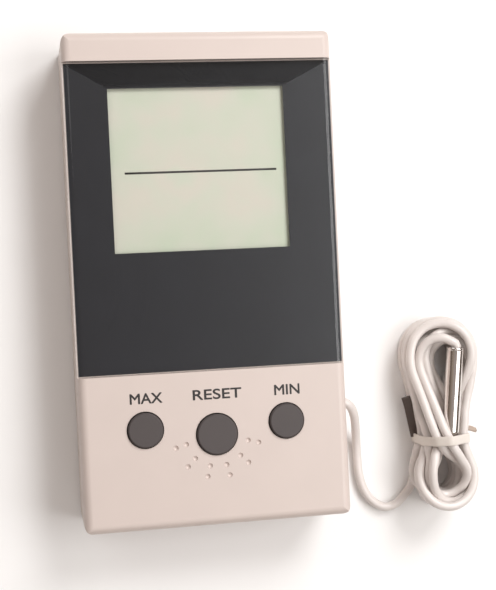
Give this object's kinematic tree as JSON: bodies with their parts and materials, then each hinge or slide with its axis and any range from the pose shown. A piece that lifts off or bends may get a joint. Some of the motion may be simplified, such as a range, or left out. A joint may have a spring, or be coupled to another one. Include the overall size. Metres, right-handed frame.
{
  "type": "maximum minimum thermometer",
  "caption": "Flat white digital maximum minimum thermometer with a full-width dark display window, round buttons and a steel probe on a tied lead.",
  "frame": {"origin": "under the middle of the case, on the surface its back lies on", "axes": "+Z out of the display, +Y towards the top edge of the case, +X to the right seen from the front"},
  "size_m": [0.0994, 0.1169, 0.0208],
  "materials": {
    "case_white": "fine satin, warm white",
    "window_clear": "glossy clear plastic over dark print",
    "window_print": "blue-black print",
    "lcd": "pale green display glass",
    "holder": "satin",
    "zebra": "matte",
    "board": "solder mask, satin",
    "chip": "resin, satin",
    "parts": "ceramic, satin",
    "screw": "zinc plated",
    "button": "fine satin, warm dark grey",
    "dome": "matte",
    "can": "bright",
    "jacket": "printed film, glossy",
    "contact": "nickel plated",
    "switch_metal": "tin plated",
    "slider": "satin black",
    "lead_wire": "tinned wire",
    "cable": "satin white vinyl",
    "probe_steel": "polished stainless steel",
    "tie": "soft white plastic"
  },
  "bodies": {
    "case": {"front_cover": "case_white", "rear_cover": "case_white", "display_window": "window_clear", "window_mask": "window_print", "lcd_glass": "lcd", "lcd_holder": "holder", "zebra_strips": "zebra", "main_board": "board", "chip_blob": "chip", "board_parts": "parts", "board_screws": "screw", "dome_max": "dome", "dome_reset": "dome", "dome_min": "dome", "battery_can": "can", "battery_jacket": "jacket", "battery_spring": "contact", "minus_contact": "contact", "plus_contact": "contact", "case_screws": "screw", "unit_switch": "switch_metal", "switch_leads": "lead_wire", "cord_grommet": "cable", "cable_tail": "cable", "cord": "cable", "cord_hank": "cable", "probe": "probe_steel", "twist_tie": "tie"},
    "max_button": {"button_max": "button"},
    "reset_button": {"button_reset": "button"},
    "min_button": {"button_min": "button"},
    "door": {"battery_door": "case_white"},
    "prop": {"stand": "case_white"},
    "slider": {"unit_slider": "slider"}
  },
  "joints": [
    {"name": "press_max", "type": "slide", "parent": "case", "child": "max_button", "axis": [0, 0, -1], "range_m": [0, 0.0007], "stiffness_N_per_m": 700, "springref_m": -0.0005, "deforming": ["dome_max"]},
    {"name": "press_reset", "type": "slide", "parent": "case", "child": "reset_button", "axis": [0, 0, -1], "range_m": [0, 0.0007], "stiffness_N_per_m": 700, "springref_m": -0.0005, "deforming": ["dome_reset"]},
    {"name": "press_min", "type": "slide", "parent": "case", "child": "min_button", "axis": [0, 0, -1], "range_m": [0, 0.0007], "stiffness_N_per_m": 700, "springref_m": -0.0005, "deforming": ["dome_min"]},
    {"name": "door_slide", "type": "slide", "parent": "case", "child": "door", "axis": [0, -1, 0], "range_m": [0, 0.056]},
    {"name": "stand_hinge", "type": "hinge", "parent": "case", "child": "prop", "pos_m": [0, 0.012, 0.0019], "axis": [1, 0, 0], "range_deg": [0, 25]},
    {"name": "unit_slide", "type": "slide", "parent": "case", "child": "slider", "axis": [0, 1, 0], "range_m": [0, 0.002]}
  ]
}
